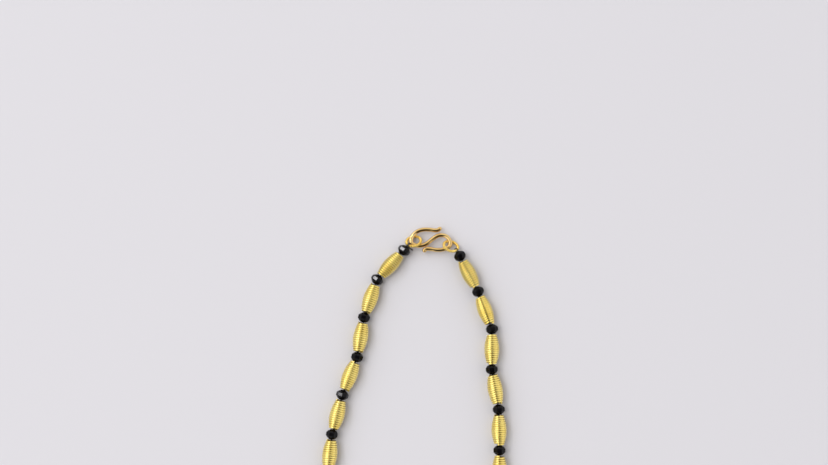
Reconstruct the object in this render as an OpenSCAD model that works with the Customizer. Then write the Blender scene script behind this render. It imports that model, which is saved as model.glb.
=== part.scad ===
// Bead chain necklace of about 45 cm: long gold beads wound from wire, with a
// small black faceted bead between each two, strung on black thread and closed
// at the back by an S-hook that holds two small end rings.
// It lies closed on a flat surface at z = 0, seen from above: +Y points to the
// clasp, +Z is up, and the origin is the middle of its outline on the surface.

/* [Gold beads] */
// Length of a gold bead along the thread
gold_len = 11.6; // [11:0.1:12.5]
// Outside diameter of a gold bead at its middle
gold_d = 5.85; // [5.7:0.05:6.2]
// Outside diameter of a gold bead at its blunt ends
gold_end_d = 3.4; // [3.35:0.05:3.6]
// Thickness of the wire that a gold bead is wound from
gold_wire = 0.8; // [0.65:0.05:0.8]
// Number of turns of wire in a gold bead
gold_turns = 14; // [12:1:17]

/* [Black beads] */
// Diameter of a black bead across its facets' corners
black_d = 4.85; // [4.5:0.05:4.85]
// Length of a black bead along the thread
black_len = 3.8; // [3.7:0.05:3.9]
// Number of facets round a black bead
black_sides = 8; // [7:1:10]

/* [Thread] */
// Thickness of the thread
thread_d = 0.6; // [0.5:0.05:0.7]
// How far the end of a black bead dips into the open mouth of a gold bead
bead_dip = 0.1; // [0:0.05:0.15]

/* [S-hook] */
// Thickness of the hook's wire
hook_wire = 1.6; // [1.4:0.05:1.65]
// Height of the hook's wire above the surface, held up by the rings under it
hook_z = 2.4; // [2.35:0.05:2.45]

/* [End rings] */
// Outside diameter of an end ring
ring_d = 6.7; // [6.65:0.05:6.75]
// Thickness of an end ring's wound wire
ring_wire = 1.15; // [1.05:0.05:1.2]

/* [Layout] */
// Turn of the round bottom of the loop at each black bead
bottom_turn = 22.5; // [21:0.5:24]

/* [Hidden] */
$fn = 32;

gold_count = 28;
pitch = gold_len + black_len - 2 * bead_dip;
gold_r = gold_d / 2;
thread_z = gold_r;
ring_r = (ring_d - ring_wire) / 2;

// Positions below are measured from the middle of the S-hook, and the whole
// necklace is moved to its origin at the end.

// First black bead on each side of the clasp
LEFT_START = [-9.98, -4.07];
RIGHT_START = [11.35, -6.24];

// Headings of the gold beads from the clasp down, in degrees from +X
//                 1st     2nd    3rd     4th     5th    6th
LEFT_HEADINGS = [-132.5, -108.7, -99.7, -111.2, -104.4, -96];
RIGHT_HEADINGS = [-63.3, -70, -90.7, -80.4, -89.5, -90];

// Middle line of the hook's wire, from its upper tip to its lower tip
//             x      y
HOOK_PATH = [[ 3.75,  4.3],  // upper tip, curled up a little
             [ 2.9,   3.78],
             [ 1.7,   3.68],
             [-0.4,   3.95],  // upper arm
             [-2.6,   3.95],
             [-4.6,   3.4],
             [-6.1,   2.3],
             [-7.1,   0.8],   // left eye
             [-7.3,  -0.6],
             [-6.7,  -1.6],
             [-5.2,  -2.15],
             [-3.5,  -2.2],
             [-2.0,  -1.8],
             [-0.7,  -1.0],   // middle of the S
             [ 0.9,   0.3],
             [ 2.55,  1.4],
             [ 4.0,   1.8],
             [ 5.7,   1.6],
             [ 7.05,  0.6],
             [ 7.7,  -1.0],   // right eye
             [ 7.4,  -2.35],
             [ 6.2,  -3.3],
             [ 4.2,  -3.8],
             [ 2.3,  -3.85],  // lower arm
             [ 0.2,  -3.5],
             [-1.4,  -3.42],
             [-2.25, -4.1]]; // lower tip, curled down

// End rings: each one dips under the hook's end and passes over its lower wire.
// Columns: centre x, centre y, direction that the ring rises towards, its
// slope, and the place on the ring where the thread is looped round it
LEFT_RING  = [-6.32, -0.56,  -78.7, 42.05, -52];
RIGHT_RING = [ 7.91, -2.43, -110.9, 43.4, 67.5];

// Black beads of each string: first and last, counted from the clasp's left
STRINGS = [[0, 4], [5, 9], [10, 14], [15, 19], [20, 24], [25, 28]];

// ---- route of the thread ----

// Points reached from p by one step along each heading
function walk(p, headings) =
    [for (i = 0, q = p; i <= len(headings);
          q = i < len(headings) ? q + pitch * [cos(headings[i]), sin(headings[i])] : q,
          i = i + 1) q];

// The seen strands end at these black beads
left_end = walk(LEFT_START, LEFT_HEADINGS)[len(LEFT_HEADINGS)];
right_end = walk(RIGHT_START, RIGHT_HEADINGS)[len(RIGHT_HEADINGS)];

// Between them the loop goes on: nearly straight strands that spread a little,
// then a round bottom, the same on both sides of the middle
hidden_count = gold_count - len(LEFT_HEADINGS) - len(RIGHT_HEADINGS);
turn_count = 4;
straight_count = hidden_count / 2 - turn_count;
bottom_w = 2 * pitch * ([for (i = 0, s = 0; i <= turn_count;
                             s = s + (i < turn_count ? cos((i + 0.5) * bottom_turn) : 0),
                             i = i + 1) s][turn_count]);
ends = right_end - left_end;
lean = atan2(ends[1], ends[0]);
spread = asin((bottom_w - norm(ends)) / 2 / (straight_count * pitch));
HIDDEN_HEADINGS = concat(
    [for (i = [1:straight_count]) lean - 90 - spread],
    [for (i = [-turn_count:turn_count - 1]) lean + (i + 0.5) * bottom_turn],
    [for (i = [1:straight_count]) lean + 90 + spread]);

HEADINGS = concat(LEFT_HEADINGS, HIDDEN_HEADINGS,
    [for (i = [len(RIGHT_HEADINGS) - 1:-1:0]) RIGHT_HEADINGS[i] + 180]);
BEADS = walk(LEFT_START, HEADINGS);

// ---- end rings ----

function ring_centre(ring) =
    [ring[0], ring[1], ring_wire / 2 + ring_r * sin(ring[3])];
// Uphill direction in the ring's plane, and the level direction across it
function ring_up(ring) =
    [cos(ring[2]) * cos(ring[3]), sin(ring[2]) * cos(ring[3]), sin(ring[3])];
function ring_across(ring) = [-sin(ring[2]), cos(ring[2]), 0];
function ring_point(ring, a) =
    ring_centre(ring) + ring_r * (cos(a) * ring_up(ring) + sin(a) * ring_across(ring));
function ring_tangent(ring, a) =
    -sin(a) * ring_up(ring) + cos(a) * ring_across(ring);

left_tie = ring_point(LEFT_RING, LEFT_RING[4]);
right_tie = ring_point(RIGHT_RING, RIGHT_RING[4]);

// ---- shape of a gold bead ----

// Radius over the wire at distance s from the bead's middle
function gold_radius(s) =
    gold_r - (gold_r - gold_end_d / 2) * pow(abs(s) / (gold_len / 2), 1.9);
turn_w = gold_len / gold_turns;
groove = 0.2;
bore_r = 0.8;
mouth_r = gold_end_d / 2 - 0.35;

// ---- course of the hook's wire ----

function unit(v) = v / norm(v);

// Smooth curve through points p, k steps from one to the next
function smooth(p, k) = let (n = len(p), q = concat([2 * p[0] - p[1]], p, [2 * p[n - 1] - p[n - 2]]))
    concat([for (i = [1:n - 1]) for (j = [0:k - 1]) let (t = j / k,
            a = q[i - 1], b = q[i], c = q[i + 1], d = q[i + 2])
        0.5 * (2 * b + (c - a) * t + (2 * a - 5 * b + 4 * c - d) * t * t
               + (3 * b - a - 3 * c + d) * t * t * t)], [p[n - 1]]);

HOOK_LINE = smooth(HOOK_PATH, 3);
hook_n = len(HOOK_LINE);
HOOK_DIRS = [for (i = [0:hook_n - 1])
    unit(HOOK_LINE[min(i + 1, hook_n - 1)] - HOOK_LINE[max(i - 1, 0)])];
// Sections of the wire: place along the line, shift past its end and radius;
// both tips are rounded
HOOK_SECTIONS = let (r = hook_wire / 2) concat(
    [[0, -0.9 * r, 0.4 * r], [0, -0.6 * r, 0.8 * r]],
    [for (i = [0:hook_n - 1]) [i, 0, r]],
    [[hook_n - 1, 0.6 * r, 0.8 * r], [hook_n - 1, 0.9 * r, 0.4 * r]]);
function hook_place(s) = HOOK_LINE[s[0]] + s[1] * HOOK_DIRS[s[0]];

// ---- outline, for the origin ----

gold_spans = [for (k = [0:gold_count - 1]) for (i = [0:gold_turns - 1])
    let (s = (i + 0.5) * turn_w - gold_len / 2, c = (BEADS[k] + BEADS[k + 1]) / 2,
         a = HEADINGS[k], r = gold_radius(s))
    [c[0] + s * cos(a) - r * abs(sin(a)), c[0] + s * cos(a) + r * abs(sin(a)),
     c[1] + s * sin(a) - r * abs(cos(a)), c[1] + s * sin(a) + r * abs(cos(a))]];
black_corners = [for (i = [0:gold_count]) for (s = [-1, 1]) for (j = [0:black_sides - 1])
    let (a = bead_heading(i), x = s * 0.16 * black_len,
         y = black_d / 2 * cos((j + 0.5) * 360 / black_sides))
    [BEADS[i][0] + x * cos(a) - y * sin(a), BEADS[i][1] + x * sin(a) + y * cos(a)]];
x_low = min(min([for (g = gold_spans) g[0]]), min([for (p = black_corners) p[0]]));
x_high = max(max([for (g = gold_spans) g[1]]), max([for (p = black_corners) p[0]]));
y_low = min(min([for (g = gold_spans) g[2]]), min([for (p = black_corners) p[1]]));
y_high = max([for (s = HOOK_SECTIONS) hook_place(s)[1] + s[2] * abs(HOOK_DIRS[s[0]][0])]);
ORIGIN = [(x_low + x_high) / 2, (y_low + y_high) / 2, 0];

// Turns +Z to direction v
module aim(v) rotate([0, acos(v[2] / norm(v)), atan2(v[1], v[0])]) children();

// Round bar from p to q, which starts and stops short of them by two lengths
module bar(p, q, d, skip = 0, stop = 0)
    translate(p + skip * unit(q - p)) aim(q - p)
        cylinder(d = d, h = norm(q - p) - skip - stop);

// ---- gold beads ----

module gold_bead(k) {
    c = (BEADS[k - 1] + BEADS[k]) / 2;
    half = gold_len / 2;
    color("gold")
    translate([c[0], c[1], gold_r] - ORIGIN)
    rotate([0, 0, HEADINGS[k - 1]]) rotate([0, 90, 0])
    rotate_extrude()
    polygon(concat(
        // turns of wire outside, each a crest with a groove after it
        [[gold_end_d / 2 - 0.15, -half]],
        [for (i = [0:gold_turns - 1]) let (s = (i + 0.5) * turn_w - half)
            each (i < gold_turns - 1
                ? [[gold_radius(s), s], [gold_radius(s + turn_w / 2) - groove, s + turn_w / 2]]
                : [[gold_radius(s), s]])],
        [[gold_end_d / 2 - 0.15, half]],
        // open hollow inside, narrow near both ends, with a flared mouth
        [[mouth_r, half], [bore_r, half - 0.35]],
        [for (s = [half - 2, half - 4, 0, 4 - half, 2 - half]) [gold_radius(s) - gold_wire, s]],
        [[bore_r, 0.35 - half], [mouth_r, -half]]));
}

// ---- black beads on their thread ----

// Faceted bead along X: a band of facets round the middle, and on each side of
// it a row of sloping facets, a narrow bevel and a flat end
module black_bead() {
    //        x                 radius           turn
    rows = [[-black_len / 2,    black_d * 0.165, 0],
            [-black_len * 0.37, black_d * 0.35,  0],
            [-black_len * 0.16, black_d / 2,     0.5],
            [ black_len * 0.16, black_d / 2,     0.5],
            [ black_len * 0.37, black_d * 0.35,  0],
            [ black_len / 2,    black_d * 0.165, 0]];
    n = black_sides;
    points = [for (r = rows) for (i = [0:n - 1]) let (a = (i + r[2]) * 360 / n)
        [r[0], r[1] * cos(a), r[1] * sin(a)]];
    faces = concat(
        [[for (i = [0:n - 1]) n - 1 - i]],
        [[for (i = [0:n - 1]) 5 * n + i]],
        // bevels and middle band
        [for (r = [0, 2, 4]) for (i = [0:n - 1]) let (j = (i + 1) % n)
            [r * n + i, r * n + j, (r + 1) * n + j, (r + 1) * n + i]],
        // sloping rows
        [for (i = [0:n - 1]) let (j = (i + 1) % n)
            each [[n + i, n + j, 2 * n + i], [n + j, 2 * n + j, 2 * n + i]]],
        [for (i = [0:n - 1]) let (j = (i + 1) % n)
            each [[4 * n + i, 3 * n + i, 4 * n + j], [4 * n + j, 3 * n + i, 3 * n + j]]]);
    polyhedron(points, [for (f = faces) [for (j = [len(f) - 1:-1:0]) f[j]]]);
}

// Direction of the thread through black bead i, halfway between its neighbours
function bead_heading(i) =
    i == 0 ? atan2(LEFT_START[1] - left_tie[1], LEFT_START[0] - left_tie[0])
  : i == gold_count ? atan2(right_tie[1] - RIGHT_START[1], right_tie[0] - RIGHT_START[0])
  : (HEADINGS[i - 1] + HEADINGS[i]) / 2;

function on_thread(p) = [p[0], p[1], thread_z];

// Thread loop round an end ring, and the thread from bead i to it
module thread_tie(i, ring, tie) {
    loop_d = thread_d * 0.7;
    loop_r = ring_wire / 2 + loop_d / 2 + 0.06;
    from = on_thread(BEADS[i]);
    translate(tie) aim(ring_tangent(ring, ring[4]))
        rotate_extrude() translate([loop_r, 0]) circle(d = loop_d, $fn = 16);
    bar(from, tie, thread_d, black_len * 0.2, loop_r - 0.1);
}

module bead_string(n) {
    first = STRINGS[n - 1][0];
    last = STRINGS[n - 1][1];
    color([0.05, 0.05, 0.06])
    translate(-ORIGIN) {
        for (i = [first:last])
            translate(on_thread(BEADS[i])) rotate([0, 0, bead_heading(i)]) black_bead();
        // the thread, from inside one black bead to inside the next, and to the
        // middle of the gold bead at each end
        inside = black_len * 0.2;
        for (i = [first:last - 1])
            bar(on_thread(BEADS[i]), on_thread(BEADS[i + 1]), thread_d, inside, inside);
        if (first > 0)
            bar(on_thread(BEADS[first]), on_thread(BEADS[first - 1]), thread_d,
                inside, pitch / 2 + 0.2);
        if (last < gold_count)
            bar(on_thread(BEADS[last]), on_thread(BEADS[last + 1]), thread_d,
                inside, pitch / 2 + 0.2);
        if (first == 0) {
            thread_tie(0, LEFT_RING, left_tie);
            // cut end of the knot
            bar([-9, -2.95, 2.85], [-6.7, -3.85, 1.2], thread_d * 0.8);
        }
        if (last == gold_count) thread_tie(gold_count, RIGHT_RING, right_tie);
    }
}

// ---- S-hook ----

module clasp_hook() {
    m = 12;
    k = len(HOOK_SECTIONS);
    points = [for (s = HOOK_SECTIONS) let (u = HOOK_DIRS[s[0]], c = hook_place(s))
        for (j = [0:m - 1]) let (a = 360 * j / m)
            [c[0] - u[1] * s[2] * cos(a), c[1] + u[0] * s[2] * cos(a), s[2] * sin(a)]];
    faces = concat(
        [[for (j = [0:m - 1]) j]],
        [[for (j = [0:m - 1]) k * m - 1 - j]],
        [for (i = [0:k - 2]) for (j = [0:m - 1])
            let (a = i * m + j, b = i * m + (j + 1) % m) each [[a, a + m, b], [b, a + m, b + m]]]);
    color("goldenrod")
    translate([0, 0, hook_z] - ORIGIN) polyhedron(points, faces);
}

// ---- end rings ----

module end_ring(ring) {
    color("gold")
    translate(ring_centre(ring) - ORIGIN)
    rotate([0, 0, ring[2]]) rotate([0, -ring[3], 0])
    rotate_extrude() translate([ring_r, 0]) circle(d = ring_wire);
}

gold_bead(1);  // gold_bead_01
gold_bead(2);  // gold_bead_02
gold_bead(3);  // gold_bead_03
gold_bead(4);  // gold_bead_04
gold_bead(5);  // gold_bead_05
gold_bead(6);  // gold_bead_06
gold_bead(7);  // gold_bead_07
gold_bead(8);  // gold_bead_08
gold_bead(9);  // gold_bead_09
gold_bead(10);  // gold_bead_10
gold_bead(11);  // gold_bead_11
gold_bead(12);  // gold_bead_12
gold_bead(13);  // gold_bead_13
gold_bead(14);  // gold_bead_14
gold_bead(15);  // gold_bead_15
gold_bead(16);  // gold_bead_16
gold_bead(17);  // gold_bead_17
gold_bead(18);  // gold_bead_18
gold_bead(19);  // gold_bead_19
gold_bead(20);  // gold_bead_20
gold_bead(21);  // gold_bead_21
gold_bead(22);  // gold_bead_22
gold_bead(23);  // gold_bead_23
gold_bead(24);  // gold_bead_24
gold_bead(25);  // gold_bead_25
gold_bead(26);  // gold_bead_26
gold_bead(27);  // gold_bead_27
gold_bead(28);  // gold_bead_28
bead_string(1);  // bead_string_1
bead_string(2);  // bead_string_2
bead_string(3);  // bead_string_3
bead_string(4);  // bead_string_4
bead_string(5);  // bead_string_5
bead_string(6);  // bead_string_6
clasp_hook();
end_ring(LEFT_RING);  // end_ring_left
end_ring(RIGHT_RING);  // end_ring_right
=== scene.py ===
# Bead chain necklace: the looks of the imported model. Lengths below are in
# millimetres in the necklace's own frame, and become metres in the meshes.
import bpy
import math
import numpy as np
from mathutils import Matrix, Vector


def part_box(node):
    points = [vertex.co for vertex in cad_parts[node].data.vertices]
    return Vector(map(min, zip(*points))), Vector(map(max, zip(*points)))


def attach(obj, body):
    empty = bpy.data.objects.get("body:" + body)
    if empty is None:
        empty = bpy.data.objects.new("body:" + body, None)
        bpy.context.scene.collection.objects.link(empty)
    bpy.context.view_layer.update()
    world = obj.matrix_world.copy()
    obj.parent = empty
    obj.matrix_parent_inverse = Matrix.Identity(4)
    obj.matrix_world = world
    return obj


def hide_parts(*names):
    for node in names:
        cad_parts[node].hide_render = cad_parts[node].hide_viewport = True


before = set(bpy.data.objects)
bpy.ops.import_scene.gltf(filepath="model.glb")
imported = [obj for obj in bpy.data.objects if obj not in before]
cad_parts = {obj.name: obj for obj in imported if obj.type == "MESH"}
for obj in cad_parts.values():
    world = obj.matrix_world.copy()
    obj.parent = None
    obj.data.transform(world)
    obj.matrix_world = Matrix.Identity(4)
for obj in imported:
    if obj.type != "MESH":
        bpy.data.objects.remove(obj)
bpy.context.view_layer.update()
MM = 0.001
rng = np.random.default_rng(7)

# ------------------------------------------------------------------ the route
GOLD_LEN, GOLD_D, GOLD_END_D, GOLD_WIRE = 11.6, 5.85, 3.4, 0.8
BLACK_D, BLACK_LEN, DIP = 4.85, 3.8, 0.1
THREAD_D, THREAD_Z = 0.6, GOLD_D / 2
PITCH = GOLD_LEN + BLACK_LEN - 2 * DIP
HOOK_WIRE, HOOK_Z = 1.6, 2.4
RING_D, RING_WIRE = 6.7, 1.15
RING_R = (RING_D - RING_WIRE) / 2
LEFT_START = np.array([-9.98, -4.07])
RIGHT_START = np.array([11.35, -6.24])
LEFT_HEADINGS = [-132.5, -108.7, -99.7, -111.2, -104.4, -96]
RIGHT_HEADINGS = [-63.3, -70, -90.7, -80.4, -89.5, -90]
GOLD_COUNT, TURN_COUNT, BOTTOM_TURN = 28, 4, 22.5
HOOK_PATH = [(3.75, 4.3), (2.9, 3.78), (1.7, 3.68), (-0.4, 3.95), (-2.6, 3.95),
             (-4.6, 3.4), (-6.1, 2.3), (-7.1, 0.8), (-7.3, -0.6), (-6.7, -1.6),
             (-5.2, -2.15), (-3.5, -2.2), (-2.0, -1.8), (-0.7, -1.0), (0.9, 0.3),
             (2.55, 1.4), (4.0, 1.8), (5.7, 1.6), (7.05, 0.6), (7.7, -1.0),
             (7.4, -2.35), (6.2, -3.3), (4.2, -3.8), (2.3, -3.85), (0.2, -3.5),
             (-1.4, -3.42), (-2.25, -4.1)]
# centre x, centre y, direction that the ring rises towards, slope, thread tie
LEFT_RING = (-6.32, -0.56, -78.7, 42.05, -52)
RIGHT_RING = (7.91, -2.43, -110.9, 43.4, 67.5)
STRINGS = [(0, 4), (5, 9), (10, 14), (15, 19), (20, 24), (25, 28)]


def cosd(a):
    return math.cos(math.radians(a))


def sind(a):
    return math.sin(math.radians(a))


def unit(v):
    v = np.asarray(v, float)
    return v / np.linalg.norm(v)


def walk(p, headings):
    out = [np.array(p, float)]
    for h in headings:
        out.append(out[-1] + PITCH * np.array([cosd(h), sind(h)]))
    return out


left_end = walk(LEFT_START, LEFT_HEADINGS)[-1]
right_end = walk(RIGHT_START, RIGHT_HEADINGS)[-1]
hidden = GOLD_COUNT - len(LEFT_HEADINGS) - len(RIGHT_HEADINGS)
straight = hidden // 2 - TURN_COUNT
bottom_w = 2 * PITCH * sum(cosd((i + 0.5) * BOTTOM_TURN) for i in range(TURN_COUNT))
ends = right_end - left_end
lean = math.degrees(math.atan2(ends[1], ends[0]))
spread = math.degrees(math.asin((bottom_w - np.linalg.norm(ends)) / 2 / (straight * PITCH)))
HEADINGS = (LEFT_HEADINGS + [lean - 90 - spread] * straight
            + [lean + (i + 0.5) * BOTTOM_TURN for i in range(-TURN_COUNT, TURN_COUNT)]
            + [lean + 90 + spread] * straight + [h + 180 for h in RIGHT_HEADINGS[::-1]])
# the CAD's origin, from its own outline
lo = np.array(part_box("gold_bead_01")[0]) / MM
hi = np.array(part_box("gold_bead_01")[1]) / MM
first = (walk(LEFT_START, HEADINGS)[0] + walk(LEFT_START, HEADINGS)[1]) / 2
ORIGIN = first - (lo[:2] + hi[:2]) / 2
BEADS = [p - ORIGIN for p in walk(LEFT_START, HEADINGS)]


def gold_radius(s):
    return GOLD_D / 2 - (GOLD_D - GOLD_END_D) / 2 * (np.abs(s) / (GOLD_LEN / 2)) ** 1.9


def ring_axes(ring):
    up = np.array([cosd(ring[2]) * cosd(ring[3]), sind(ring[2]) * cosd(ring[3]), sind(ring[3])])
    across = np.array([-sind(ring[2]), cosd(ring[2]), 0.0])
    centre = np.array([ring[0] - ORIGIN[0], ring[1] - ORIGIN[1],
                       RING_WIRE / 2 + RING_R * sind(ring[3])])
    return centre, up, across


def ring_point(ring, a):
    c, up, across = ring_axes(ring)
    return c + RING_R * (cosd(a) * up + sind(a) * across)


# ------------------------------------------------------------------ materials
def new_material(name):
    m = bpy.data.materials.new(name)
    m.use_nodes = True
    nt = m.node_tree
    nt.nodes.clear()
    out = nt.nodes.new("ShaderNodeOutputMaterial")
    bsdf = nt.nodes.new("ShaderNodeBsdfPrincipled")
    nt.links.new(bsdf.outputs[0], out.inputs[0])
    return m, nt, bsdf


def node(nt, kind, **values):
    n = nt.nodes.new(kind)
    for k, v in values.items():
        if k in n.inputs:
            n.inputs[k].default_value = v
        else:
            setattr(n, k, v)
    return n


def noise(nt, coords, scale, detail=3.0, rough=0.55, distortion=0.0):
    n = nt.nodes.new("ShaderNodeTexNoise")
    n.inputs["Scale"].default_value = scale
    n.inputs["Detail"].default_value = detail
    n.inputs["Roughness"].default_value = rough
    n.inputs["Distortion"].default_value = distortion
    nt.links.new(coords, n.inputs["Vector"])
    return n.outputs["Fac"]


def ramp(nt, fac, stops):
    r = nt.nodes.new("ShaderNodeValToRGB")
    els = r.color_ramp.elements
    while len(els) < len(stops):
        els.new(0.5)
    for e, (p, c) in zip(els, stops):
        e.position = p
        e.color = (*c, 1.0) if len(c) == 3 else c
    nt.links.new(fac, r.inputs["Fac"])
    return r.outputs["Color"]


def remap(nt, fac, a, b, c, d):
    m = nt.nodes.new("ShaderNodeMapRange")
    for i, v in zip((1, 2, 3, 4), (a, b, c, d)):
        m.inputs[i].default_value = v
    nt.links.new(fac, m.inputs[0])
    return m.outputs[0]


def bump(nt, height, strength, distance, normal=None):
    b = nt.nodes.new("ShaderNodeBump")
    b.inputs["Strength"].default_value = strength
    b.inputs["Distance"].default_value = distance
    nt.links.new(height, b.inputs["Height"])
    if normal is not None:
        nt.links.new(normal, b.inputs["Normal"])
    return b.outputs["Normal"]


def gold_material(name, bright, deep, rough, scale=900.0, scratch=0.25, painted_groove_shade=None,
                  coat=0.0):
    """Plated wire: warm colour drifting slowly, duller worn patches, and fine
    draw marks. painted_groove_shade is painted shade: a darker colour down between the turns of a wound wire, where
    shade falls."""
    m, nt, bsdf = new_material(name)
    tc = nt.nodes.new("ShaderNodeTexCoord").outputs["Object"]
    drift = noise(nt, tc, scale * 0.25, 2.0)
    fine = noise(nt, tc, scale * 3.0, 4.0, 0.6)
    colour = ramp(nt, drift, [(0.35, deep), (0.62, bright)])
    # painted shade: the wire's sides, down between the turns, take the darker painted groove shade colour
    if painted_groove_shade is not None:
        crest = nt.nodes.new("ShaderNodeAttribute")
        crest.attribute_name = "crest"
        mix = nt.nodes.new("ShaderNodeMix")
        mix.data_type = "RGBA"
        nt.links.new(remap(nt, crest.outputs["Fac"], -0.1, 0.45, 0.0, 1.0), mix.inputs[0])
        mix.inputs[6].default_value = (*painted_groove_shade, 1)
        nt.links.new(colour, mix.inputs[7])
        colour = mix.outputs[2]
    nt.links.new(colour, bsdf.inputs["Base Color"])
    bsdf.inputs["Metallic"].default_value = 1.0
    bsdf.inputs["Coat Weight"].default_value = coat
    bsdf.inputs["Coat Roughness"].default_value = 0.12
    nt.links.new(remap(nt, fine, 0.3, 0.7, rough[0], rough[1]), bsdf.inputs["Roughness"])
    nt.links.new(bump(nt, fine, scratch, 0.00002), bsdf.inputs["Normal"])
    return m


# the groove colours are painted shade between the wire's turns; the second gold has a more orange tone of its own and a
# deeper, higher-reaching painted groove shade
M_GOLD = gold_material("gold_wire", (0.94, 0.76, 0.20), (0.88, 0.67, 0.14), (0.25, 0.35),
                       painted_groove_shade=(0.56, 0.40, 0.08), coat=1.0)
M_ORANGE_GROOVE_SHADED = gold_material("gold_wire_orange_groove_shaded", (0.98, 0.78, 0.19), (0.92, 0.68, 0.12),
                            (0.16, 0.28), painted_groove_shade=(0.38, 0.26, 0.05), coat=1.0)
M_HOOK = gold_material("hook_gold", (0.88, 0.64, 0.28), (0.80, 0.54, 0.20), (0.12, 0.19), 700.0, 0.12)
# the ring's groove colour is painted shade between its fine turns
M_RING = gold_material("ring_gold", (1.0, 0.77, 0.24), (0.94, 0.66, 0.16), (0.2, 0.3), 1200.0, 0.2,
                       painted_groove_shade=(0.36, 0.21, 0.05))


def black_glass():
    m, nt, bsdf = new_material("black_glass")
    tc = nt.nodes.new("ShaderNodeTexCoord").outputs["Object"]
    fine = noise(nt, tc, 2500.0, 3.0)
    smear = noise(nt, tc, 500.0, 3.0)
    colour = ramp(nt, smear, [(0.3, (0.0015, 0.0015, 0.002)), (0.7, (0.004, 0.0035, 0.004))])
    nt.links.new(colour, bsdf.inputs["Base Color"])
    bsdf.inputs["IOR"].default_value = 1.5
    bsdf.inputs["Specular IOR Level"].default_value = 0.15
    nt.links.new(remap(nt, smear, 0.35, 0.7, 0.03, 0.12), bsdf.inputs["Roughness"])
    nt.links.new(bump(nt, fine, 0.06, 0.00001), bsdf.inputs["Normal"])
    return m


def thread_material():
    m, nt, bsdf = new_material("black_thread")
    tc = nt.nodes.new("ShaderNodeTexCoord").outputs["Object"]
    fibre = noise(nt, tc, 9000.0, 4.0, 0.7)
    colour = ramp(nt, fibre, [(0.3, (0.006, 0.006, 0.007)), (0.75, (0.03, 0.03, 0.034))])
    nt.links.new(colour, bsdf.inputs["Base Color"])
    bsdf.inputs["Roughness"].default_value = 0.6
    bsdf.inputs["Sheen Weight"].default_value = 0.15
    nt.links.new(bump(nt, fibre, 0.5, 0.00003), bsdf.inputs["Normal"])
    return m


M_BLACK = black_glass()
M_THREAD = thread_material()


# ------------------------------------------------------------------ mesh tools
def make(name, verts, faces, material, nodes, smooth=True, crest=None):
    me = bpy.data.meshes.new(name)
    me.from_pydata((np.asarray(verts) * MM).tolist(), [], faces)
    me.validate()
    me.update()
    if crest is not None:
        layer = me.attributes.new("crest", "FLOAT", "POINT")
        layer.data.foreach_set("value", np.asarray(crest, dtype=np.float32))
    me.materials.append(material)
    me.polygons.foreach_set("use_smooth", [smooth] * len(me.polygons))
    o = bpy.data.objects.new(name, me)
    bpy.context.scene.collection.objects.link(o)
    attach(o, "root")
    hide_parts(*nodes)
    return o


def tube_faces(n, m, base=0, closed=False, caps=True):
    """Quads of n rings of m points, with flat ends."""
    i = np.arange(n if closed else n - 1)[:, None]
    j = np.arange(m)[None]
    i2 = (i + 1) % n
    j2 = (j + 1) % m
    f = np.stack([i * m + j, i * m + j2, i2 * m + j2, i2 * m + j], -1).reshape(-1, 4) + base
    f = f.tolist()
    if caps and not closed:
        f.append([base + k for k in range(m)][::-1])
        f.append([base + (n - 1) * m + k for k in range(m)])
    return f


def sweep(path, radii, m, normals=None, squash=1.0, closed=False):
    """Rings of m points round a path. squash flattens along the normal."""
    P = np.asarray(path, float)
    n = len(P)
    if closed:
        T = np.roll(P, -1, 0) - np.roll(P, 1, 0)
    else:
        T = np.gradient(P, axis=0)
    T /= np.linalg.norm(T, axis=1)[:, None]
    if normals is None:
        N = np.zeros_like(P)
        ref = np.array([0, 0, 1.0]) if abs(T[0][2]) < 0.9 else np.array([1.0, 0, 0])
        N[0] = unit(ref - ref.dot(T[0]) * T[0])
        for k in range(1, n):
            v = N[k - 1] - N[k - 1].dot(T[k]) * T[k]
            N[k] = v / np.linalg.norm(v)
    else:
        N = normals - np.sum(normals * T, 1)[:, None] * T
        N /= np.linalg.norm(N, axis=1)[:, None]
    B = np.cross(T, N)
    a = 2 * np.pi * np.arange(m) / m
    r = np.broadcast_to(np.asarray(radii, float), (n,))
    V = (P[:, None] + r[:, None, None] * (squash * np.cos(a)[None, :, None] * N[:, None]
                                          + np.sin(a)[None, :, None] * B[:, None]))
    return V.reshape(-1, 3)


def smooth_path(points, k):
    p = np.asarray(points, float)
    q = np.vstack([2 * p[0] - p[1], p, 2 * p[-1] - p[-2]])
    out = []
    for i in range(1, len(p)):
        a, b, c, d = q[i - 1], q[i], q[i + 1], q[i + 2]
        for j in range(k):
            t = j / k
            out.append(0.5 * (2 * b + (c - a) * t + (2 * a - 5 * b + 4 * c - d) * t * t
                              + (3 * b - a - 3 * c + d) * t ** 3))
    out.append(p[-1])
    return np.array(out)


def wander(n, waves, size):
    """Smooth seeded drift of about that size, n samples."""
    t = np.linspace(0, 1, n)
    v = np.zeros(n)
    for w in waves:
        v += rng.normal() * np.sin(2 * np.pi * (w * t + rng.random()))
    return size * v / max(1.0, np.sqrt(len(waves)))


# ------------------------------------------------------------------ gold beads
# turns of wire, how flat the wire is pressed, and how far the painted shade between
# the turns reaches up, where they differ from the rest
COIL_TURNS = {1: 13, 4: 13.75, 24: 13.75, 28: 13}
FLAT = {1: 0.62, 2: 0.46, 27: 0.5, 28: 0.66}
GROOVE_SHADE_REACH = {1: 0.45, 27: 0.1, 28: 0.45}


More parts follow.
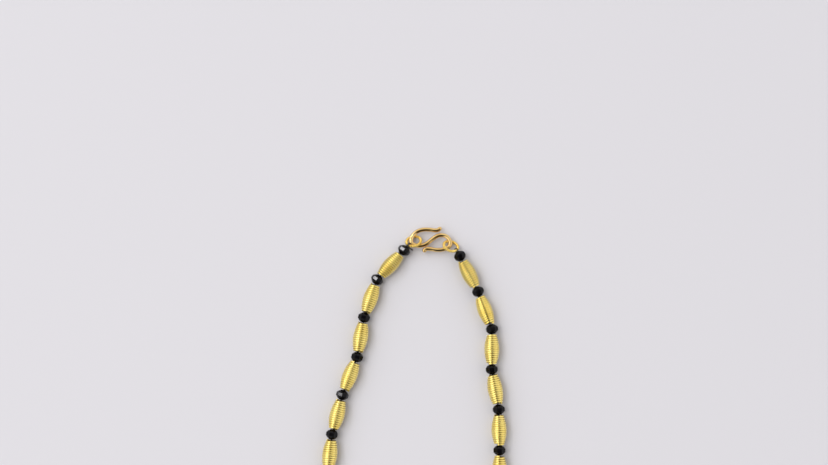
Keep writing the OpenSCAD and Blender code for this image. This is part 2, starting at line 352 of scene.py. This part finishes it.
def gold_bead(k):
    """One wire wound in close turns over a spindle, cut at both ends."""
    turns, steps, sides = COIL_TURNS.get(k, 13.5), 32, 12
    n = int(turns * steps) + 1
    phi0 = rng.random() * 2 * np.pi
    t = np.linspace(0, 1, n)
    phi = phi0 + 2 * np.pi * turns * t
    half = GOLD_LEN / 2
    s = -half + GOLD_WIRE / 2 + (GOLD_LEN - GOLD_WIRE) * t
    s = s + wander(n, (5, 9, 14), 0.012) * np.minimum(1, 8 * np.minimum(t, 1 - t))
    flat = FLAT.get(k, 0.37)
    rho = gold_radius(s) - flat * GOLD_WIRE / 2 - 0.012 + np.minimum(wander(n, (7, 11, 17), 0.012), 0.012)
    P = np.stack([s, rho * np.cos(phi), rho * np.sin(phi)], 1)
    N = np.stack([np.zeros(n), np.cos(phi), np.sin(phi)], 1)
    V = sweep(P, GOLD_WIRE / 2, sides, normals=N, squash=flat)
    F = tube_faces(n, sides)
    h = HEADINGS[k - 1]
    R = np.array([[cosd(h), -sind(h), 0], [sind(h), cosd(h), 0], [0, 0, 1.0]])
    c = (BEADS[k - 1] + BEADS[k]) / 2
    V = V @ R.T + np.array([c[0], c[1], GOLD_D / 2])
    # crest is each point's place round the wire; lowering it spreads the painted groove shade further up the turns
    return make(f"gold_coil_{k:02d}", V, F, M_ORANGE_GROOVE_SHADED if k in GROOVE_SHADE_REACH else M_GOLD,
                [f"gold_bead_{k:02d}"],
                crest=np.tile(np.cos(2 * np.pi * np.arange(sides) / sides), n) - GROOVE_SHADE_REACH.get(k, 0.0))


for k in range(1, GOLD_COUNT + 1):
    gold_bead(k)


# ------------------------------------------------------------------ black beads
def black_bead_mesh(turn, wob):
    """Faceted bead along X with a drilled hole: points and faces."""
    n = 8
    hole = 0.42
    e, c, m = BLACK_D * 0.165, BLACK_D * 0.35, BLACK_D / 2
    xe, xc, xm = BLACK_LEN / 2, BLACK_LEN * 0.37, BLACK_LEN * 0.16
    rows = [(-xe + 0.5, hole, 0.0), (-xe, hole, 0.0), (-xe, e, 0.0), (-xc, c, 0.0), (-xm, m, 0.5),
            (xm, m, 0.5), (xc, c, 0.0), (xe, e, 0.0), (xe, hole, 0.0), (xe - 0.5, hole, 0.0)]
    V, F = [], []
    for x, r, ph in rows:
        for i in range(n):
            a = 2 * math.pi * (i + ph) / n + turn
            V.append((x, r * math.cos(a), r * math.sin(a)))
    q = lambda r, i: r * n + i % n
    for r in (0, 1, 2, 4, 6, 7, 8):
        for i in range(n):
            F.append([q(r, i), q(r + 1, i), q(r + 1, i + 1), q(r, i + 1)])
    for i in range(n):
        F.append([q(3, i), q(4, i), q(3, i + 1)])
        F.append([q(3, i + 1), q(4, i), q(4, i + 1)])
        F.append([q(5, i), q(6, i), q(6, i + 1)])
        F.append([q(5, i), q(6, i + 1), q(5, i + 1)])
    F = [f[::-1] for f in F]         # outwards
    F.append([q(9, i) for i in range(n)])
    F.append([q(0, i) for i in range(n)][::-1])
    V = np.array(V)
    V[:, 1:] *= 1 + wob[0]
    V[:, 0] *= 1 + wob[1]
    return V, F


def bead_heading(i):
    if i == 0:
        tie = ring_point(LEFT_RING, LEFT_RING[4])
        v = BEADS[0] - tie[:2]
        return math.degrees(math.atan2(v[1], v[0]))
    if i == GOLD_COUNT:
        v = ring_point(RIGHT_RING, RIGHT_RING[4])[:2] - BEADS[GOLD_COUNT]
        return math.degrees(math.atan2(v[1], v[0]))
    return (HEADINGS[i - 1] + HEADINGS[i]) / 2


# roll of the seen beads on the thread, and how far two of them lean on it
WOBBLE = {0: 7.0, 1: -6.0}
TURNS = {0: 20.0, 1: 20.0, 2: 2.0, 3: -3.0, 4: 20.0, 5: 1.0, 24: 3.0, 25: -2.0, 26: 4.0, 27: 0.0, 28: -4.0}
for s, (a, b) in enumerate(STRINGS, 1):
    V, F, base = [], [], 0
    for i in range(a, b + 1):
        v, f = black_bead_mesh(math.radians(TURNS.get(i, rng.uniform(-22, 22))),
                               (rng.uniform(-0.02, 0.0), rng.uniform(-0.02, 0.0)))
        h = bead_heading(i) + WOBBLE.get(i, 0.0)
        R = np.array([[cosd(h), -sind(h), 0], [sind(h), cosd(h), 0], [0, 0, 1.0]])
        v = v @ R.T + np.array([BEADS[i][0], BEADS[i][1], THREAD_Z])
        V.append(v)
        F += [[x + base for x in g] for g in f]
        base += len(v)
    o = make(f"black_beads_{s}", np.vstack(V), F, M_BLACK,
             [f"bead_string_{s}"], smooth=False)
    bev = o.modifiers.new("edges", "BEVEL")
    bev.width = 0.07 * MM
    bev.segments = 2
    bev.limit_method = "ANGLE"
    bev.angle_limit = math.radians(12)


# ------------------------------------------------------------------ thread
def twisted(path, d, lay, plies=2, sides=6, start=0.0):
    """A thread of twisted plies along a path: points and faces."""
    P = np.asarray(path, float)
    seg = np.linalg.norm(np.diff(P, axis=0), axis=1)
    s = np.concatenate([[0], np.cumsum(seg)])
    T = np.gradient(P, axis=0)
    T /= np.linalg.norm(T, axis=1)[:, None]
    N = np.zeros_like(P)
    ref = np.array([0, 0, 1.0]) if abs(T[0][2]) < 0.9 else np.array([1.0, 0, 0])
    N[0] = unit(ref - ref.dot(T[0]) * T[0])
    for k in range(1, len(P)):
        v = N[k - 1] - N[k - 1].dot(T[k]) * T[k]
        N[k] = v / np.linalg.norm(v)
    B = np.cross(T, N)
    r = d / 4
    V, F, base = [], [], 0
    for p in range(plies):
        a = 2 * np.pi * (s / lay + p / plies) + start
        Q = P + r * (np.cos(a)[:, None] * N + np.sin(a)[:, None] * B)
        V.append(sweep(Q, r * 1.05, sides))
        F += tube_faces(len(Q), sides, base)
        base += len(Q) * sides
    return np.vstack(V), F


def dense(p, q, step):
    n = max(2, int(np.ceil(np.linalg.norm(np.asarray(q) - p) / step)) + 1)
    return [np.asarray(p) + (np.asarray(q) - p) * t for t in np.linspace(0, 1, n)]


def on_thread(i):
    return np.array([BEADS[i][0], BEADS[i][1], THREAD_Z])


def tie_path(ring):
    """Where the thread's loop sits round an end ring's wire: the point on the wire, and the wire's tangent, outward and
    sideways directions.
    """
    c, up, across = ring_axes(ring)
    a = ring[4]
    centre = ring_point(ring, a)
    tangent = -sind(a) * up + cosd(a) * across
    out = unit(cosd(a) * up + sind(a) * across)
    side = np.cross(tangent, out)
    return centre, tangent, out, side


for s, (a, b) in enumerate(STRINGS, 1):
    parts = []
    pts = []
    if a > 0:
        q, p = on_thread(a - 1), on_thread(a)
        pts += dense((p + q) / 2 + 0.2 * unit(p - q), p, 0.2)[:-1]
    for i in range(a, b):
        pts += dense(on_thread(i), on_thread(i + 1), 0.2)[:-1]
    if b < GOLD_COUNT:
        p, q = on_thread(b), on_thread(b + 1)
        pts += dense(p, (p + q) / 2 - 0.2 * unit(q - p), 0.2)
    else:
        pts.append(on_thread(b))
    parts.append(twisted(pts, THREAD_D, 1.5))
    for i, ring in ((0, LEFT_RING), (GOLD_COUNT, RIGHT_RING)):
        if not a <= i <= b:
            continue
        centre, tangent, out, side = tie_path(ring)
        d = THREAD_D * 0.7
        loop_r = RING_WIRE / 2 + d / 2 + 0.06
        toward = unit(on_thread(i) - centre)
        toward = unit(toward - toward.dot(tangent) * tangent)
        other = np.cross(tangent, toward)
        # the thread comes out of the bead, goes round the ring's wire and back
        for sign, shift in ((1, 0.16), (-1, -0.16)):
            arc = [centre + shift * tangent * abs(w) + loop_r * (cosd(w * 180) * -toward + sign * sind(w * 180) * other)
                   for w in np.linspace(0, 0.78, 16)]
            arc += dense(arc[-1], on_thread(i) + 1.5 * unit(centre - on_thread(i)) + shift * tangent, 0.15)[1:]
            parts.append(twisted(arc, d, 1.2))
        if i == 0:
            tail = smooth_path([(-8.9 - ORIGIN[0], -2.93 - ORIGIN[1], 2.85),
                                (-7.8 - ORIGIN[0], -3.22 - ORIGIN[1], 2.3),
                                (-6.7 - ORIGIN[0], -3.85 - ORIGIN[1], 1.2)], 8)
            parts.append(twisted(tail, THREAD_D, 1.4))
            # two turns more round the ring's wire, for the knot
            wrap = [centre + 0.76 * (w - 0.5) * tangent
                    + (loop_r - 0.02) * (cosd(720 * w) * -toward + sind(720 * w) * other)
                    for w in np.linspace(0, 1, 61)]
            parts.append(twisted(wrap, 0.38, 1.1))
    V = np.vstack([v for v, f in parts])
    F, base = [], 0
    for v, f in parts:
        F += [[x + base for x in g] for g in f]
        base += len(v)
    make(f"thread_{s}", V, F, M_THREAD, [f"bead_string_{s}"])

# ------------------------------------------------------------------ S-hook
line = smooth_path([(x - ORIGIN[0], y - ORIGIN[1], HOOK_Z) for x, y in HOOK_PATH], 10)
n = len(line)
r = HOOK_WIRE / 2 * (1 + wander(n, (3, 7, 12), 0.008) - 0.01)
u0, u1 = unit(line[0] - line[1]), unit(line[-1] - line[-2])
tips = [(0.9, 0.3), (0.8, 0.55), (0.5, 0.84), (0.2, 0.97)]
head = [line[0] + HOOK_WIRE / 2 * t * u0 for t, _ in tips]
tail = [line[-1] + HOOK_WIRE / 2 * t * u1 for t, _ in tips[::-1]]
P = np.vstack([head, line, tail])
rr = np.concatenate([[r[0] * w for _, w in tips], r, [r[-1] * w for _, w in tips[::-1]]])
Z = np.tile([0, 0, 1.0], (len(P), 1))
V = sweep(P, rr, 20, normals=Z)
make("s_hook", V, tube_faces(len(P), 20), M_HOOK, ["clasp_hook"])


# ------------------------------------------------------------------ end rings
def end_ring(name, ring, cad):
    """Ring of fine wire wound in close turns round a round core line."""
    c, up, across = ring_axes(ring)
    turns, steps, sides = 29, 24, 12
    fine = 0.56
    n = turns * steps
    a = np.linspace(0, 2 * np.pi, n, endpoint=False)
    axis = np.cross(up, across)
    out = np.cos(a)[:, None] * up + np.sin(a)[:, None] * across
    w = turns * a + rng.random() * 2 * np.pi
    lean_in = np.cos(w)[:, None] * out + np.sin(w)[:, None] * axis
    P = c + out * RING_R + (RING_WIRE / 2 - fine / 2 - 0.005) * lean_in
    V = sweep(P, fine / 2, sides, normals=lean_in, closed=True)
    # crest drives the painted shade down between the ring's turns
    make(name, V, tube_faces(n, sides, closed=True), M_RING, [cad],
         crest=np.tile(np.cos(2 * np.pi * np.arange(sides) / sides), n))


end_ring("coiled_ring_left", LEFT_RING, "end_ring_left")
end_ring("coiled_ring_right", RIGHT_RING, "end_ring_right")

# ------------------------------------------------------------------ floor
me = bpy.data.meshes.new("floor")
me.from_pydata([(-3, -3, 0), (3, -3, 0), (3, 3, 0), (-3, 3, 0)], [], [[0, 1, 2, 3]])
floor = bpy.data.objects.new("floor", me)
bpy.context.scene.collection.objects.link(floor)
m, nt, bsdf = new_material("floor")
bsdf.inputs["Base Color"].default_value = (0.60, 0.593, 0.608, 1)
bsdf.inputs["Roughness"].default_value = 0.9
bsdf.inputs["Specular IOR Level"].default_value = 0.2
me.materials.append(m)

# ------------------------------------------------------------------ camera
TILT, FOCAL, DIST = 6.5, 1300.0, 500.0
hook_in_view = np.array([6.163, -3.118])          # from the view's middle point
look = np.array([-ORIGIN[0], -ORIGIN[1]]) - hook_in_view
cam_data = bpy.data.cameras.new("camera")
cam_data.sensor_width = 36.0
cam_data.lens = FOCAL / 828 * 36
cam_data.clip_start = 0.01
cam = bpy.data.objects.new("camera", cam_data)
cam.location = (look[0] * MM, (look[1] - DIST * sind(TILT)) * MM, DIST * cosd(TILT) * MM)
cam.rotation_euler = (math.radians(TILT), 0, 0)
bpy.context.scene.collection.objects.link(cam)
bpy.context.scene.camera = cam


# ------------------------------------------------------------------ light
def area(name, azimuth, elevation, dist, size, power, colour=(1, 1, 1)):
    d = bpy.data.lights.new(name, "AREA")
    d.shape = "DISK"
    d.size = size
    d.energy = power
    d.color = colour
    o = bpy.data.objects.new(name, d)
    v = np.array([cosd(azimuth) * cosd(elevation), sind(azimuth) * cosd(elevation), sind(elevation)])
    target = np.array([0, 0.05, 0])
    o.location = tuple(target + dist * v)
    from mathutils import Vector
    o.rotation_euler = Vector(tuple(-v)).to_track_quat("-Z", "Y").to_euler()
    bpy.context.scene.collection.objects.link(o)
    return o


area("lamp", 138, 46, 2.5, 0.20, 4.5, (1.0, 0.985, 1.02))
area("second_lamp", 164, 47, 2.5, 0.15, 1.2, (1.0, 0.985, 1.02))
soft_key = area("soft_key", 172, 66, 2.5, 1.6, 22.0)
soft_key.visible_glossy = False

world = bpy.data.worlds.new("world")
bpy.context.scene.world = world
world.use_nodes = True
wt = world.node_tree
wt.nodes.clear()
wo = wt.nodes.new("ShaderNodeOutputWorld")
bg = wt.nodes.new("ShaderNodeBackground")
wt.links.new(bg.outputs[0], wo.inputs[0])
# a pale room with a long bright band at the left, and a dark strip from
# overhead down to the front
tc = wt.nodes.new("ShaderNodeTexCoord")
xyz = wt.nodes.new("ShaderNodeSeparateXYZ")
wt.links.new(tc.outputs["Generated"], xyz.inputs[0])


def soft(value, a, b, low, high):
    m = wt.nodes.new("ShaderNodeMapRange")
    m.interpolation_type = "SMOOTHSTEP"
    for i, v in zip((1, 2, 3, 4), (a, b, low, high)):
        m.inputs[i].default_value = v
    wt.links.new(value, m.inputs[0])
    return m.outputs[0]


def times(u, v):
    m = wt.nodes.new("ShaderNodeMath")
    m.operation = "MULTIPLY"
    wt.links.new(u, m.inputs[0])
    wt.links.new(v, m.inputs[1])
    return m.outputs[0]


def math_node(kind, u, value):
    m = wt.nodes.new("ShaderNodeMath")
    m.operation = kind
    wt.links.new(u, m.inputs[0])
    m.inputs[1].default_value = value
    return m.outputs[0]


def plus(u, v):
    m = wt.nodes.new("ShaderNodeMath")
    m.operation = "ADD"
    wt.links.new(u, m.inputs[0])
    wt.links.new(v, m.inputs[1])
    return m.outputs[0]


# the strip's right edge leans to the right towards the front
right = plus(xyz.outputs[0], math_node("MULTIPLY", math_node("MINIMUM", xyz.outputs[1], 0.0), 0.6))
strip = times(times(soft(xyz.outputs[0], -0.24, -0.08, 0.0, 1.0), soft(right, 0.13, 0.28, 1.0, 0.0)),
              soft(xyz.outputs[1], 0.2, 0.4, 1.0, 0.0))
# sine of the angle round the Y axis
across = wt.nodes.new("ShaderNodeMath")
across.operation = "DIVIDE"
wt.links.new(xyz.outputs[0], across.inputs[0])
y_squared = times(xyz.outputs[1], xyz.outputs[1])
rest = math_node("MAXIMUM", math_node("ADD", math_node("MULTIPLY", y_squared, -1.0), 1.0), 0.05)
wt.links.new(math_node("POWER", rest, 0.5), across.inputs[1])
across = across.outputs[0]
band = times(times(soft(across, -0.98, -0.80, 0.0, 1.0), soft(across, -0.52, -0.28, 1.0, 0.0)),
             times(soft(xyz.outputs[1], -0.85, -0.6, 0.0, 1.0), soft(xyz.outputs[1], 0.6, 0.85, 1.0, 0.0)))
side = ramp(wt, remap(wt, xyz.outputs[0], -1.0, 1.0, 0.0, 1.0),
            [(0.0, (0.72, 0.71, 0.72)), (0.3, (0.88, 0.865, 0.88)), (0.6, (1.02, 1.0, 1.02)),
             (0.86, (0.96, 0.94, 0.96)), (0.96, (1.10, 1.08, 1.10)), (1.0, (1.06, 1.04, 1.06))])
pale = wt.nodes.new("ShaderNodeMix")
pale.data_type = "RGBA"
wt.links.new(band, pale.inputs[0])
wt.links.new(side, pale.inputs[6])
pale.inputs[7].default_value = (1.66, 1.64, 1.72, 1)
pale = pale.outputs[2]
mix = wt.nodes.new("ShaderNodeMix")
mix.data_type = "RGBA"
wt.links.new(strip, mix.inputs[0])
wt.links.new(pale, mix.inputs[6])
mix.inputs[7].default_value = (0.032, 0.027, 0.02, 1)
wt.links.new(mix.outputs[2], bg.inputs["Color"])
bg.inputs["Strength"].default_value = 1.0

sc = bpy.context.scene
sc.view_settings.view_transform = "Standard"
sc.view_settings.look = "None"
